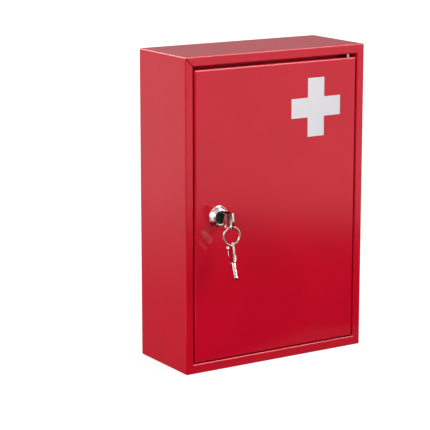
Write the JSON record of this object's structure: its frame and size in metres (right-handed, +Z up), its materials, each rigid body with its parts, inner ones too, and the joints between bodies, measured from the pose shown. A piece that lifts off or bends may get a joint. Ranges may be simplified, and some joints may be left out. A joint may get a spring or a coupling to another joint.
{
  "type": "medicine cabinet",
  "caption": "Lockable wall-hung steel medicine cabinet with an inset hinged door, a cross sign, a cam lock, shelves inside and keys on a split ring.",
  "frame": {"origin": "middle of the cabinet's underside", "axes": "+Z up along the height, -Y out of the front with the door, +Y to the wall, +X to the hinge side"},
  "size_m": [0.215, 0.1266, 0.32],
  "materials": {
    "red_paint": "satin powder coat",
    "white_film": "satin film",
    "chrome": "polished",
    "nickel": "nickel plated",
    "dark_nickel": "dark plated",
    "zinc_plate": "zinc plated",
    "brass": "stamped",
    "spring_steel": "bright wire"
  },
  "bodies": {
    "cabinet": {"cabinet_shell": "red_paint", "back_panel": "red_paint", "upper_shelf": "red_paint", "lower_shelf": "red_paint", "hinge_washer": "zinc_plate"},
    "door": {"door_panel": "red_paint", "upper_pivot_bracket": "red_paint", "lower_pivot_bracket": "red_paint", "upper_hinge_pin": "zinc_plate", "lower_hinge_pin": "zinc_plate", "white_cross": "white_film", "lock_housing": "chrome", "lock_washer": "zinc_plate", "lock_nut": "zinc_plate"},
    "plug": {"lock_plug": "dark_nickel", "wafer_tumblers": "brass", "wafer_springs": "spring_steel", "stop_washer": "zinc_plate", "lock_cam": "zinc_plate", "cam_washer": "zinc_plate", "cam_screw": "zinc_plate"},
    "key": {"lock_key": "nickel"},
    "ring": {"key_ring": "nickel"},
    "spare": {"spare_key": "nickel"}
  },
  "joints": [
    {"name": "door_hinge", "type": "hinge", "parent": "cabinet", "child": "door", "pos_m": [0.0897, -0.04, 0.16], "axis": [0, 0, 1], "range_deg": [0, 120]},
    {"name": "lock_turn", "type": "hinge", "parent": "door", "child": "plug", "pos_m": [-0.0699, -0.044, 0.15885], "axis": [0, 1, 0], "range_deg": [0, 90]},
    {"name": "key_pull", "type": "slide", "parent": "plug", "child": "key", "axis": [0, -1, 0], "range_m": [0, 0.02]},
    {"name": "ring_swing", "type": "hinge", "parent": "key", "child": "ring", "pos_m": [-0.0699, -0.069, 0.15285], "axis": [0.9976, -0.0698, 0], "range_deg": [-80, 15]},
    {"name": "spare_key_swing", "type": "hinge", "parent": "ring", "child": "spare", "pos_m": [-0.0699, -0.069, 0.13475], "axis": [0.9976, -0.0698, 0], "range_deg": [-46, 28]}
  ]
}
